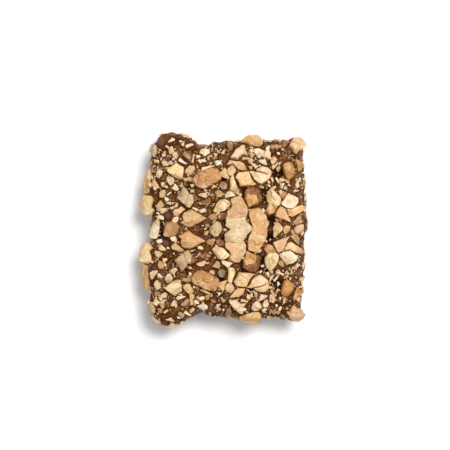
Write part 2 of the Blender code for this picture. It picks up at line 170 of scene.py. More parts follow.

# The almonds that stand out, in millimetres, with outlines in tenths of a millimetre that go
# round the almond's middle as it looks from above. One with a height hangs over the rim, tilted
# outwards by so many degrees. Skin says in which directions, in degrees, the brown skin lies, and
# how far from the middle. These lie above the middle line, and again below it.
PAIRED = (
    Almond(-18.7, 19.9, 3.9, 2.2, "grey", ((-10, 6), (-4, 12), (3, 16), (10, 8), (9, -7), (3, -19),
           (-2, -9), (-7, -2)), 9.2, 50),
    Almond(-19.4, 12.0, 8.0, 3.0, "tan", ((0, 33), (2, 10), (4, -8), (2, -28), (-10, -33), (-17, -40),
           (-24, -25), (-21, -8), (-15, 8), (-6, 22)), 8.6, 48),
    Almond(-19.9, 6.0, 5.0, 4.6, "butter", ((-25, 5), (-20, 15), (-7, 25), (3, 26), (13, 20), (13, 8),
           (10, -5), (18, -13), (10, -23), (4, -28), (-12, -23), (-20, -10)), 8.8, 42),
    Almond(6.1, 21.8, 6.4, 3.4, "tan", ((-30, 1), (-17, 11), (-5, 17), (8, 18), (18, 15), (25, 5),
           (26, -6), (20, -13), (8, -14), (-10, -9)), 10.2, 26),
    Almond(17.0, 20.9, 5.0, 4.1, "peach", ((-16, 17), (-6, 21), (9, 22), (21, 15), (26, 2), (16, -10),
           (5, -13), (-1, -22), (-9, -18), (-14, -7), (-23, -5), (-15, 4)), 9.9, 24, skin=((150, 1.5),)),
    Almond(-6.1, 19.0, 2.9, 2.2, "white", ((-14, -1), (-9, 9), (1, 11), (12, 5), (14, -3), (5, -5),
           (2, -11), (-3, -5))),
    Almond(-13.4, 18.4, 2.4, 1.8, "straw", ((-8, 7), (3, 8), (8, -1), (4, -10), (-2, -4))),
    Almond(-10.6, 18.4, 2.7, 2.5, "hazel", ((-10, 2), (-4, 8), (4, 13), (13, 4), (13, -10), (7, -13),
           (0, -7)), skin=((45, 0.5),)),
    Almond(-15.8, 16.4, 2.2, 1.5, "straw", ((-9, 3), (-4, 7), (4, 5), (10, -1), (6, -7), (-3, -4))),
    Almond(-13.1, 14.5, 5.0, 4.8, "butter", ((-24, 1), (-13, 11), (2, 21), (10, 13), (20, 9), (20, -3),
           (16, -20), (5, -21), (-7, -13), (-18, -6))),
    Almond(-9.7, 14.7, 2.9, 2.1, "straw", ((-13, -5), (-9, 3), (0, 11), (11, 10), (14, 4), (8, -5),
           (3, -12), (-7, -11))),
    Almond(-17.2, 13.8, 3.1, 1.9, "straw", ((-9, 0), (-5, 10), (1, 13), (8, 7), (6, -3), (0, -13),
           (-7, -8))),
    Almond(-10.4, 12.4, 2.8, 1.4, "hazel", ((-11, 5), (-2, 2), (5, 7), (21, 1), (15, -6), (3, -3),
           (-5, -6))),
    Almond(-5.7, 12.7, 8.0, 5.0, "orange", ((-35, -9), (-32, 1), (-24, 10), (-12, 15), (1, 22), (16, 26),
           (29, 26), (36, 18), (40, 5), (37, -5), (26, -12), (16, -20), (-2, -27), (-17, -25),
           (-29, -16)), skin=((205, 2.9), (300, 2.1))),
    Almond(-14.5, 12.0, 3.2, 1.9, "ash", ((-9, 0), (-9, 11), (-1, 15), (8, 9), (10, 0), (4, -11),
           (-2, -10))),
    Almond(-13.5, 10.4, 2.1, 1.7, "white", ((-9, 0), (-2, 7), (3, 9), (11, -4), (9, -9), (1, -8))),
    Almond(-18.1, 11.2, 2.5, 2.1, "cream", ((-8, -5), (-7, 5), (-4, 13), (3, 5), (10, -10), (-2, -10))),
    Almond(-10.2, 7.8, 6.0, 5.0, "ash", ((-28, 0), (-19, 11), (-14, 22), (-9, 27), (0, 16), (4, 7),
           (15, 9), (30, -2), (20, -9), (11, -16), (6, -25), (-2, -22), (-12, -13)), skin=((5, 1.3),)),
    Almond(-6.4, 8.6, 2.9, 1.8, "peach", ((-13, -1), (-7, 4), (5, 5), (13, -3), (11, -11), (0, -6),
           (-9, -3))),
    Almond(-5.9, 6.6, 3.6, 2.4, "pink", ((-17, -1), (-12, 4), (0, 5), (10, 13), (16, 6), (12, -4),
           (7, -11), (-2, -6), (-12, -5)), skin=((40, -0.9),)),
    Almond(-2.5, 8.8, 2.0, 1.7, "hazel", ((-9, 4), (1, 8), (10, 4), (12, -4), (6, -9), (-2, -7))),
    Almond(-1.4, 10.8, 2.5, 2.1, "dusky", ((-9, -2), (-5, 9), (4, 12), (11, 5), (10, -8), (-1, -11))),
    Almond(-16.6, 8.6, 2.5, 1.9, "olive", ((-6, 4), (-2, 11), (6, 12), (11, 6), (5, -8), (-4, -7))),
    Almond(-16.9, 6.2, 2.4, 2.2, "straw", ((-11, -3), (-2, 9), (1, 9), (10, -2), (4, -8), (-9, -9))),
    Almond(-12.4, 4.5, 4.0, 2.0, "peach", ((-16, -3), (-12, 4), (-2, 5), (5, 11), (15, 10), (18, 4),
           (10, 0), (5, -5), (-5, -13), (-12, -10))),
    Almond(-16.1, 4.6, 2.2, 1.7, "straw", ((-10, 3), (-2, 7), (8, 6), (9, 1), (0, -6), (-7, -9))),
    Almond(-13.3, 2.4, 2.0, 1.7, "white", ((-8, -2), (-3, 5), (8, 8), (9, 1), (5, -7), (-3, -9))),
    Almond(-8.8, 2.7, 6.8, 5.0, "tan", ((-29, 7), (-24, 15), (-6, 22), (35, 0), (29, -4), (-9, -24),
           (-20, -20), (-34, -12), (-26, -7))),
    Almond(-1.5, 6.0, 5.1, 3.3, "vanilla", ((-24, -15), (-21, -8), (-14, 5), (-6, 13), (6, 15), (16, 10),
           (24, 3), (16, -5), (6, -14), (-9, -18), (-19, -19))),
    Almond(-3.9, 3.2, 2.7, 1.4, "hazel", ((-13, -2), (-8, 4), (4, 7), (11, 0), (9, -7), (-5, -9))),
    Almond(-1.6, 3.3, 2.3, 1.8, "dull", ((-11, -4), (-9, 5), (1, 9), (10, 6), (9, -6), (-3, -11)),
           skin=((0, -0.6),)),
    Almond(0.4, 20.7, 2.5, 2.0, "drab", ((-7, 2), (-2, 10), (6, 9), (8, -1), (6, -11), (-3, -11))),
    Almond(0.8, 14.6, 2.9, 2.4, "peach", ((-10, 3), (-6, 10), (2, 13), (11, 4), (10, -4), (2, -13),
           (-5, -12), (-10, -4))),
    Almond(1.2, 11.4, 4.9, 2.7, "butter", ((-9, 16), (0, 21), (3, 6), (11, -12), (8, -19), (-6, -21),
           (-9, -16), (-7, -4))),
    Almond(-0.9, 13.9, 2.6, 2.6, "honey", ((-12, 3), (-6, 9), (0, 14), (4, 10), (5, 1), (13, -15),
           (0, -11), (-10, -7))),
    Almond(0.1, 8.7, 2.9, 1.7, "white", ((-15, -10), (-11, -2), (0, 8), (8, 6), (18, -3), (10, -6),
           (0, -7), (-10, -11))),
    Almond(3.0, 19.3, 4.9, 3.7, "cream", ((-26, -17), (-20, -9), (-10, 4), (4, 17), (11, 15), (12, 2),
           (21, -11), (6, -9), (-1, -13), (-7, -20), (-18, -19))),
    Almond(7.5, 19.0, 3.2, 2.6, "white", ((-15, 8), (-9, 11), (4, 10), (14, 2), (10, -6), (2, -14),
           (-5, -9))),
    Almond(9.8, 18.3, 2.0, 2.0, "white", ((-9, 4), (-4, 11), (5, 9), (8, 2), (3, -9), (-3, -5))),
    Almond(11.3, 17.1, 2.5, 1.8, "straw", ((-7, 10), (2, 11), (9, 4), (6, -3), (1, -9), (-4, -10),
           (-7, -2))),
    Almond(2.8, 15.9, 4.9, 2.3, "honey", ((-24, 13), (-14, 11), (3, 9), (12, 4), (18, -12), (6, -13),
           (-4, -8), (-14, 2))),
    Almond(4.4, 12.4, 5.1, 4.2, "honey", ((-27, 5), (-25, 11), (-19, 16), (5, 19), (9, 9), (15, -4),
           (26, -13), (17, -17), (-15, -18), (-20, -4))),
    Almond(8.1, 13.4, 6.3, 4.4, "cream", ((-32, 11), (-15, 11), (-7, 17), (5, 22), (20, 19), (29, 11),
           (28, 4), (23, -7), (15, -15), (3, -22), (-7, -19), (-17, -9), (-25, 4))),
    Almond(15.0, 14.8, 5.1, 3.7, "amber", ((-15, 11), (-9, 18), (0, 20), (11, 13), (16, 2), (14, -11),
           (5, -21), (-2, -32), (-6, -24), (-10, -11), (-14, 2)), skin=((255, 2.1),)),
    Almond(17.5, 16.0, 3.9, 2.2, "amber", ((-8, 17), (0, 16), (6, 4), (11, -4), (7, -13), (0, -16),
           (-6, -2), (-9, 9))),
    Almond(6.0, 7.9, 5.2, 4.7, "golden", ((-21, 14), (-16, 21), (-1, 26), (11, 25), (19, 19), (24, 4),
           (24, -9), (11, -18), (-1, -20), (-10, -27), (-12, -17), (-19, -4)),
           skin=((88, 0.9), (15, 1.1), (150, 1.4))),
    Almond(11.1, 7.0, 7.6, 4.4, "vanilla", ((-5, 34), (1, 29), (10, 18), (20, 6), (19, -5), (15, -10),
           (7, -13), (-7, -10), (-15, 0), (-16, 13), (-11, 26))),
    Almond(15.4, 7.1, 4.7, 4.1, "white", ((-24, -9), (-18, -1), (-9, 12), (-5, 18), (2, 14), (12, 12),
           (20, 7), (20, -4), (10, -15), (1, -20), (-13, -16))),
    Almond(13.5, 8.6, 2.1, 1.9, "dull", ((-7, -1), (1, 6), (10, 6), (8, -4), (2, -12), (-5, -7))),
    Almond(16.7, 4.5, 5.1, 2.2, "honey", ((-23, 6), (-13, 4), (2, 10), (17, 16), (24, 12), (24, 6),
           (12, -3), (2, -8), (-8, -15), (-16, -11), (-21, -3))),
    Almond(13.2, 3.9, 4.5, 3.0, "peach", ((-16, -7), (-11, 7), (-3, 19), (6, 14), (11, 6), (15, -4),
           (25, -23), (12, -19), (-6, -12))),
    Almond(2.3, 5.6, 5.6, 5.4, "peach", ((-17, 21), (-4, 26), (8, 26), (16, 16), (25, 1), (25, -14),
           (20, -29), (-12, -28), (-28, -27), (-27, -11), (-17, -4), (-13, 6), (-19, 16))),
    Almond(17.2, 2.9, 2.4, 2.1, "hazel", ((-13, -11), (-6, -6), (-1, 1), (8, 10), (10, 4), (8, -9),
           (4, -16), (-5, -21))),
    Almond(11.9, 20.4, 3.4, 1.8, "hazel", ((-15, 1), (-11, 7), (-6, 2), (1, 7), (5, 2), (12, 6), (17, 2),
           (13, -3), (7, -1), (2, -7), (-4, -1), (-10, -7))),
)

# These lie across the middle line. Their outlines are the upper half, from left to right.
CENTRED = (
    Almond(-18.2, 0.0, 5.0, 1.9, "white", ((-9, 8), (-8, 18), (-3, 22), (5, 22), (9, 15))),
    Almond(-14.4, 0.0, 4.0, 3.6, "dull", ((-16, 2), (-13, 14), (2, 19), (16, 15), (22, 6), (19, 1))),
    Almond(-3.0, 0.0, 4.0, 3.8, "olive", ((-18, 1), (-14, 8), (-6, 13), (-1, 19), (8, 17), (13, 8),
           (15, 1))),
    Almond(2.5, 0.0, 7.2, 8.0, "ivory", ((-21, 0.6), (-32, 10), (-30, 31), (-4, 32), (17, 34), (18, 23),
           (30, 9), (38, 0.6))),
    Almond(7.7, 0.0, 11.6, 5.2, "tan", ((-18, 1), (-17, 8), (-23, 18), (-26, 30), (-26, 45), (-23, 51),
           (-3, 58), (4, 54), (9, 43), (17, 35), (21, 25), (26, 13), (19, 1))),
    Almond(12.4, 0.0, 4.4, 3.6, "tan", ((-13, 1), (-9, 6), (-7, 18), (-3, 21), (2, 15), (9, 8),
           (13, 1))),
    Almond(14.7, 0.0, 2.3, 2.5, "tan", ((-10, 3), (-3, 10), (4, 8), (10, 3))),
    Almond(17.4, 0.0, 4.4, 2.8, "ivory", ((-11, 1), (-5, 8), (5, 13), (12, 12), (12, 1))),
)

# Lobes of those almonds that the solid leaves out
LOBES = (
    Almond(10.5, 5.3, 3.8, 2.9, "toasted", ((-4, 24), (16, 20), (18, 0), (9, -14), (-3, -19), (-12, -16),
           (-19, -15), (-12, -7), (-5, 5)), skin=((225, 1.2),)),
)

# Where the almonds with ridges and with a crack lie
RIDGED = (-5.7, 12.7)
SPLIT = (8.1, 13.4)

# Below the middle line, all lies a little further left and down.
BELOW_ASIDE = Vector((-0.45 * MM, -0.2 * MM, 0))
BELOW_FADE = 1.0 * MM

# How the almonds that stand out are shaped and finished
LOOK_SEED = 31
TOP_DRAFT = (0.02, 0.14)
CROWN_WIDTHS = (3.2 * MM, 5.5 * MM)
CROWN_REACH = (0.05, 0.55)
CROWN_EDGE = (0.0, 0.22)
CROWN_TURN = (100, 200)
BLOCK_SPARE = 0.1 * MM
BLOCK_GRAIN = 0.11 * MM
BLOCK_SMOOTHING = 2
BLOCK_SHARE = 0.18
CUT_CLOSENESS = 0.001 * MM
CHIP_SIZE = 2.4 * MM
CHIP_SLOPE = 0.2
CREASE = 32
RIM_LIFT = 0.2 * MM
RIDGES_FROM = Vector((-5.5, -2.2))
RIDGE_TURN = 5.0
RIDGE_WAVER = 5.0
RIDGE_WAVER_SPACING = 1.5 * MM
RIDGE_DEPTH = 0.08 * MM
SLIT_ENDS = (Vector((-1.6, 1.1)), Vector((1.6, 0.2)))
SLIT_WIDTH = 0.2 * MM
SLIT_DEPTH = 0.7 * MM
ALMOND_WAVES = ((2.0 * MM, 0.3 * MM), (0.7 * MM, 0.16 * MM))
# How far up an almond the chocolate at its foot and the painted shade on its lower sides reach
SMEAR_HEIGHT = 0.9 * MM
SMEAR_SHARE = 0.4
SKIN_BLEND = 0.6 * MM

# Almonds that fill the gaps on top, and those on the sides and underneath, as in the solid
SEED = 7
DARTS = 400
SMALL_KINDS = ("flake", "nib", "nib", "sliver", "wedge")
Spread = namedtuple("Spread", "count largest smallest crowding")
TOP_SPREAD = Spread(42, 1.9, 1.4, 0.9)
SIDE_SPREAD = Spread(58, 4.2, 1.8, 0.84)
FOOT_SPREAD = Spread(36, 5.2, 2.2, 0.84)
WIDTH_SHARE = (0.6, 0.95)
TOP_REACH = 0.93
FOOT_REACH = 0.84
SIDE_LOW = 1.4 * MM
SIDE_HIGH = 9.4 * MM
SIDE_STAND = (0.35 * MM, 0.85 * MM)
FOOT_STAND = 0.75 * MM
SMALL_TONES = ("cream", "cream", "white", "honey", "tan", "tan", "peach", "olive", "pink", "orange",
               "dull")
SKIN_CHANCE = 0.2
SKIN_START = (-0.3, 0.5)
SMALL_BEVEL = 0.05

# Small scraps of almond that show one by one, above the middle line and again below it:
# kind, x, y, length and width in millimetres, turn in degrees, and tone
SCRAPS = (
    ("wedge", -14.1, 22.4, 2.3, 1.1, 15, "cream"), ("nib", -12.0, 21.9, 1.2, 0.8, 10, "white"),
    ("nib", -10.9, 22.4, 1.1, 1.0, 60, "cream"), ("sliver", -9.8, 20.9, 2.1, 0.9, 30, "cream"),
    ("nib", -8.8, 20.1, 1.0, 0.6, 0, "cream"), ("nib", -15.3, 20.5, 1.5, 0.8, -35, "pink"),
    ("nib", -7.6, 18.1, 1.4, 1.2, 0, "cream"), ("nib", -6.3, 17.1, 1.8, 1.1, -10, "cream"),
    ("nib", -3.4, 17.8, 1.5, 1.0, 15, "dull"), ("sliver", -8.9, 17.6, 2.5, 0.7, 80, "peach"),
    ("sliver", -11.5, 16.9, 2.3, 1.0, -25, "white"), ("sliver", -18.1, 15.8, 2.2, 0.7, 70, "pink"),
    ("nib", -18.8, 4.4, 1.3, 1.0, 20, "cream"), ("wedge", -18.1, 8.5, 1.8, 1.1, 200, "tan"),
    ("nib", -15.4, 7.5, 1.4, 1.0, -30, "cream"), ("nib", -9.1, 9.5, 1.3, 1.0, 0, "olive"),
    ("nib", -9.0, 11.0, 1.5, 1.1, 30, "cream"), ("flake", -3.8, 10.6, 1.6, 1.5, 45, "honey"),
    ("nib", -13.9, 6.5, 1.1, 0.7, 20, "grey"), ("nib", -13.1, 6.0, 1.3, 0.8, 50, "cream"),
    ("nib", -6.6, 4.5, 1.9, 1.1, 15, "cream"), ("sliver", -8.4, 5.1, 1.6, 0.7, -25, "cream"),
    ("nib", -16.8, 2.9, 1.7, 1.3, -15, "white"), ("sliver", -6.8, 0.9, 1.0, 0.6, 20, "white"),
    ("nib", -2.5, 4.0, 1.0, 0.8, 10, "cream"), ("sliver", -5.0, 15.5, 3.6, 0.9, 20, "cream"),
    ("sliver", -7.3, 14.4, 1.8, 0.7, 28, "dull"), ("sliver", 4.4, 17.7, 2.0, 0.9, 5, "tan"),
    ("sliver", 11.6, 15.8, 2.3, 0.9, 50, "olive"), ("nib", 8.5, 10.5, 0.9, 0.6, -20, "white"),
    ("sliver", 6.1, 2.0, 1.3, 0.7, 80, "cream"), ("sliver", 6.0, 16.3, 1.8, 0.7, -35, "white"),
    ("sliver", 5.4, 17.0, 1.3, 0.6, -40, "white"), ("wedge", 8.9, 16.8, 3.0, 1.5, -30, "white"),
    ("sliver", 7.0, 15.6, 1.0, 0.5, 45, "white"), ("sliver", 11.1, 12.1, 1.9, 0.7, -60, "cream"),
    ("sliver", 12.3, 12.0, 2.0, 0.5, -65, "white"), ("sliver", 11.5, 10.8, 1.3, 0.7, 60, "white"),
    ("nib", 13.2, 10.4, 1.1, 0.7, 20, "cream"), ("nib", -16.1, 19.0, 1.4, 0.8, 60, "pink"),
    ("nib", -17.1, 19.8, 0.9, 0.6, 0, "cream"), ("nib", 12.5, 18.9, 0.9, 0.8, 0, "white"),
    ("sliver", 16.1, 17.8, 1.3, 0.6, 20, "cream"), ("nib", -17.7, 17.8, 0.7, 0.6, 0, "white"),
    ("sliver", -19.5, 17.3, 1.6, 0.6, 50, "pink"), ("sliver", -19.2, 15.0, 2.4, 0.7, 70, "tan"),
    ("sliver", -14.2, 17.9, 1.7, 0.4, 80, "tan"), ("nib", -5.6, 20.6, 0.9, 0.6, 20, "white"),
    ("sliver", -3.9, 20.7, 1.9, 0.7, 80, "ash"), ("nib", -2.7, 20.6, 0.6, 0.5, 0, "white"),
    ("nib", -2.5, 19.3, 1.3, 0.8, -30, "ash"), ("nib", -1.5, 16.2, 0.7, 0.5, 30, "white"),
    ("nib", -13.4, 9.1, 0.6, 0.5, 0, "white"), ("nib", -14.7, 4.5, 0.6, 0.5, 0, "white"),
    ("nib", -15.2, 3.3, 1.9, 1.7, 20, "stained"), ("nib", -5.3, 0.9, 1.3, 1.2, 0, "dull"),
    ("sliver", -3.8, 6.1, 1.7, 0.6, 60, "olive"), ("nib", 10.3, 21.5, 0.9, 0.7, 0, "cream"),
    ("sliver", 11.0, 21.5, 1.6, 0.5, 30, "olive"), ("sliver", 13.0, 21.2, 1.4, 0.5, -35, "cream"),
    ("sliver", 12.8, 19.6, 1.3, 0.5, 25, "olive"), ("nib", 14.3, 21.7, 2.0, 1.8, 30, "brown"),
    ("nib", 12.5, 15.6, 0.9, 0.7, 40, "tan"), ("nib", 14.8, 11.9, 1.5, 1.0, -40, "tan"),
    ("sliver", 12.9, 11.6, 2.1, 0.4, -60, "ash"), ("nib", 10.1, 10.9, 1.0, 0.7, -20, "white"),
    ("nib", 14.1, 10.2, 0.9, 0.7, 30, "white"), ("nib", 15.4, 10.9, 0.8, 0.7, 0, "cream"),
    ("sliver", 16.9, 9.6, 1.5, 0.7, 20, "pink"), ("sliver", 18.2, 9.3, 2.0, 0.7, 80, "white"),
    ("nib", 17.4, 12.0, 1.1, 0.7, 40, "pink"), ("nib", 18.0, 13.0, 0.8, 0.5, 60, "white"),
    ("nib", 19.0, 12.2, 0.7, 0.5, 0, "cream"), ("nib", 15.9, 12.3, 0.9, 0.6, 70, "cream"),
    ("sliver", 19.3, 7.4, 2.1, 0.5, 88, "white"), ("sliver", 19.0, 16.0, 1.8, 0.5, 80, "white"),
    ("sliver", 19.2, 1.8, 1.6, 0.5, 85, "pink"), ("nib", 18.5, 13.4, 0.7, 0.6, 0, "white"),
)
SCRAP_SINK = 0.3
SCRAP_THICKNESS = 0.75

# Crumbs of chopped almond: how many are tried, longest and shortest in millimetres
Crumbs = namedtuple("Crumbs", "name seed tries longest shortest")
CRUMBS = Crumbs("almond_crumbs", 11, 5200, 1.5, 0.5)
DUST = Crumbs("almond_dust", 12, 22000, 0.5, 0.16)
CRUMB_KINDS = ("nib", "flake", "sliver")
CRUMB_TONES = ("white", "white", "white", "white", "cream", "cream", "pink", "pink", "ash", "dull")
CRUMB_SIZES = 1.5
CRUMB_WIDTHS = (0.3, 0.85)
CRUMB_THICKNESSES = (0.6, 0.9)
CRUMB_LEAN = (-0.4, 0.4)
CRUMB_ON_ALMOND = 0.012
CRUMB_SINK = 0.3
CRUMB_PATCH = 3.2 * MM
CRUMB_SHARE = 0.22
CRUMB_UNEVENNESS = 0.3
CLEAR_ABOVE = 6.0 * MM

# Where the crumbs lie closer on the upper side: x, y, radius in millimetres, and how much.
# These are above the middle line, and again below it.
CRUMB_PATCHES = (
    (-15.0, 18.2, 2.4, 0.4), (-10.5, 18.6, 2.2, 0.25), (-6.0, 17.8, 2.2, 0.2), (-17.5, 15.2, 1.6, 0.3),
    (-13.0, 23.0, 3.2, -0.8), (-7.5, 22.0, 2.5, -0.5), (7.0, 16.3, 2.0, 0.2), (12.2, 12.0, 2.2, 0.12),
    (17.3, 11.8, 2.6, 0.05), (-13.5, 6.4, 1.2, 0.3), (14.0, 18.5, 2.0, 0.15), (-10.5, 0.5, 1.5, 0.3),
    (10.0, 3.0, 2.2, 0.15), (15.0, 2.0, 2.2, 0.15),
)

# Where the camera and the lights are: place, size and power
PICTURE_WIDTH = 112.5 * MM
PICTURE_MIDDLE = Vector((-0.875 * MM, 1.0 * MM, 12.0 * MM))
LENS = 100.0
SENSOR = 36.0
NEAREST_SEEN = 0.01
LIGHTS = {
    "key": ((0.15, 0.17, 0.48), 0.22, 2.9),
    "overhead": ((-0.1, -0.05, 0.8), 0.7, 1.5),
    "fill": ((-0.35, -0.25, 0.3), 0.4, 0.4),
}
ROOM_LIGHT = 0.2
TABLE_SIZE = 3.0


def clamped(share):
    return min(1.0, max(0.0, share))


def across(turn):
    """The level direction at this angle from the picture's right."""
    return Vector((math.cos(turn), math.sin(turn), 0))


def reach(angle):
    """How far the slab's outline is from its middle in this direction."""
    across = abs(math.cos(angle)) / (SLAB_WIDTH / 2)
    along = abs(math.sin(angle)) / (SLAB_LENGTH / 2)
    far = (across**CORNER_SQUARENESS + along**CORNER_SQUARENESS) ** (-1 / CORNER_SQUARENESS)
    for direction, spread, amount in SWELLS:
        off = (abs(math.degrees(angle)) - direction) / spread
        far += amount * math.exp(-off * off)
    return far


def fullness(x, y):
    """0 at the middle of the slab, and 1 at its outline."""
    return math.hypot(x, y) / reach(math.atan2(y, x))


def lump(place):
    """How far the coat stands out of its plain form here. It fades out towards the flat foot."""
    return LUMP * clamped((place.z - SLAB_FOOT) / LUMP_FADE) * noise.noise(place / LUMP_SPACING)


def on_coat(direction):
    """The point of the coat in this direction from the slab's middle."""
    flat = fullness(direction.x, direction.y)
    if direction.z > 0:
        tall, power = direction.z / RISE, TOP_SQUARENESS
    else:
        tall, power = -direction.z / DROP, FOOT_SQUARENESS
    place = direction / (flat**power + tall**power) ** (1 / power)
    place.z += SLAB_WAIST
    return place


def outward(place):
    """The direction straight out of the coat at this point."""
    offset = place - WAIST
    sides = []
    for axis in (Vector((SLOPE_STEP, 0, 0)), Vector((0, SLOPE_STEP, 0)), Vector((0, 0, SLOPE_STEP))):
        more, less = (on_coat(offset + step) - WAIST for step in (axis, -axis))
        sides.append((offset + axis).length / more.length - (offset - axis).length / less.length)
    return Vector(sides).normalized()


def top_of_coat(x, y):
    """The point of the coat's upper side above x, y, which lie inside the outline."""
    share = (1 - fullness(x, y) ** TOP_SQUARENESS) ** (1 / TOP_SQUARENESS)
    return Vector((x, y, SLAB_WAIST + RISE * share))


def side_of_coat(angle, height):
    """The point of the coat's side in this direction, at this height."""
    if height > SLAB_WAIST:
        share = (1 - ((height - SLAB_WAIST) / RISE) ** TOP_SQUARENESS) ** (1 / TOP_SQUARENESS)
    else:
        share = (1 - ((SLAB_WAIST - height) / DROP) ** FOOT_SQUARENESS) ** (1 / FOOT_SQUARENESS)
    far = reach(angle) * share
    return Vector((far * math.cos(angle), far * math.sin(angle), height))


def above_coat(place):
    """How far this point stands out of the coat."""
    offset = place - WAIST
    under = on_coat(offset) - WAIST
    return (offset.length - under.length) * abs(outward(place).dot(offset.normalized()))


def thickness_of(width):
    return min(THICKEST, max(THINNEST, THICKNESS_SHARE * width))


def standing(normal):
    """Turns an almond so that its upper side faces along the normal and its length along X."""
    along = Vector((1, 0, 0)) - normal * normal.x
    if along.length > LEAST_ACROSS:
        along.normalize()
        return Matrix((along, normal.cross(along), normal)).transposed()
    return normal.to_track_quat("Z", "Y").to_matrix()


def seating(place, normal, turn, thickness, stand_out, lean):
    """Puts an almond in the coat so that it stands out of it by this much, turned about the normal."""
    tip = Matrix.Rotation(lean[0], 3, "X") @ Matrix.Rotation(lean[1], 3, "Y")
    turned = standing(normal) @ tip @ Matrix.Rotation(math.radians(turn), 3, "Z")
    return Matrix.Translation(place + normal * (stand_out - thickness / 2)) @ turned.to_4x4()


def random_lean(dice):
    return [math.radians(dice.uniform(-LEAN_SPREAD, LEAN_SPREAD)) for _ in range(2)]


def resting_place(x, y, thickness, height, tilt):
    """The point of the coat that an almond on the upper side lies on, and its normal."""
    if height is None:
        place = top_of_coat(x, y)
        return place, outward(place)
    tilt = math.radians(tilt)
    aside = outward(side_of_coat(math.atan2(y, x), SLAB_WAIST)) * math.sin(tilt)
    normal = Vector((aside.x, aside.y, math.cos(tilt)))
    return Vector((x, y, height)) + normal * (0.5 - STAND_SHARE) * thickness, normal


def random_almond(dice, size):
    width = size * dice.uniform(*WIDTH_SHARE)
    return dice.choice(SMALL_KINDS), size, width, dice.uniform(0, 360)


def throw(dice, spread, pick, taken):
    """Picks spots for this many almonds, the largest first, each clear of those already there."""
    for number in range(spread.count):
        size = spread.largest + (spread.smallest - spread.largest) * number / (spread.count - 1)
        for _ in range(DARTS):
            spot = pick(dice)
            if all((spot - other).length - spread.crowding * MM * (size + wide) / 2 > 0
                   for other, wide in taken):
                taken.append((spot, size))
                yield spot, size
                break


def pick_inside(dice, limit):
    """x and y of a spot inside the outline."""
    while True:
        x = dice.uniform(-0.5, 0.5) * SLAB_WIDTH
        y = dice.uniform(-0.5, 0.5) * SLAB_LENGTH
        if fullness(x, y) < limit:
            return x, y


def pick_top(dice):
    """A spot on the upper side."""
    return top_of_coat(*pick_inside(dice, TOP_REACH))


def pick_side(dice):
    """A spot on one of the four sides, evenly along the outline."""
    half_width, half_length = SLAB_WIDTH / 2, SLAB_LENGTH / 2
    along = dice.uniform(-1, 1)
    if dice.random() < half_length / (half_length + half_width):
        corner = (dice.choice((-1, 1)) * half_width, along * half_length)
    else:
        corner = (along * half_width, dice.choice((-1, 1)) * half_length)
    return side_of_coat(math.atan2(corner[1], corner[0]), dice.uniform(SIDE_LOW, SIDE_HIGH))


def pick_foot(dice):
    """A spot on the underside."""
    return Vector((*pick_inside(dice, FOOT_REACH), SLAB_FOOT))


def select(*pieces):
    """Selects only these, and makes the first of them the active one."""
    bpy.ops.object.select_all(action="DESELECT")
    for piece in pieces:
        piece.select_set(True)
    bpy.context.view_layer.objects.active = pieces[0]


def add_object(name, data):
    made = bpy.data.objects.new(name, data)
    bpy.context.scene.collection.objects.link(made)
    return made


def store(mesh, name, kind="FLOAT"):
    """Room for a value at each of the mesh's corners."""
    return mesh.attributes.new(name, kind, "POINT").data


def modify(piece, kind, **settings):
    """Adds a modifier of this kind with these settings, and applies it."""
    select(piece)
    modifier = piece.modifiers.new(kind, kind)
    for setting, value in settings.items():
        setattr(modifier, setting, value)
    bpy.ops.object.modifier_apply(modifier=modifier.name)


def edit(editing=True):
    bpy.ops.object.mode_set(mode="EDIT" if editing else "OBJECT")


def new_block(name, size):
    """A plain cube of this size round the origin, open for cutting in edit mode."""
    bpy.ops.object.select_all(action="DESELECT")
    bpy.ops.mesh.primitive_cube_add(size=size, location=(0, 0, 0))
    block = bpy.context.object
    block.name = block.data.name = name
    edit()
    bpy.ops.mesh.select_all(action="SELECT")
    return block


def chop_off(place, normal):
    """Cuts away all of the open block that lies beyond a plane, and closes the cut."""
    bpy.ops.mesh.select_all(action="SELECT")
    bpy.ops.mesh.bisect(plane_co=place, plane_no=normal, use_fill=True, clear_outer=True,
                        threshold=CUT_CLOSENESS)


def roughen(piece, waves):
    """Makes the surface uneven at each of these spacings and depths."""
    for spacing, depth in waves:
        clouds = bpy.data.textures.new("unevenness", "CLOUDS")
        clouds.noise_scale = spacing
        clouds.noise_depth = 1
        modify(piece, "DISPLACE", texture=clouds, texture_coords="LOCAL", strength=depth, mid_level=0.5)


def join(name, pieces):
    """Makes one mesh object of these."""
    select(*pieces)
    bpy.ops.object.join()
    pieces[0].name = pieces[0].data.name = name
    return pieces[0]


def lay(mesh, place):
    """A copy of this mesh, with its own data, laid in its place."""
    copy = mesh.copy()
    copy.transform(place)
    return add_object("almond", copy)


def press_on_table(mesh):
    """What would reach below the table is pressed flat on it."""
    for corner in mesh.vertices:
        corner.co.z = max(corner.co.z, TABLE)


def move_below(mesh):
    """Moves what lies below the middle line to where the photograph shows it."""
    for corner in mesh.vertices:
        corner.co += BELOW_ASIDE * clamped(-corner.co.y / BELOW_FADE)


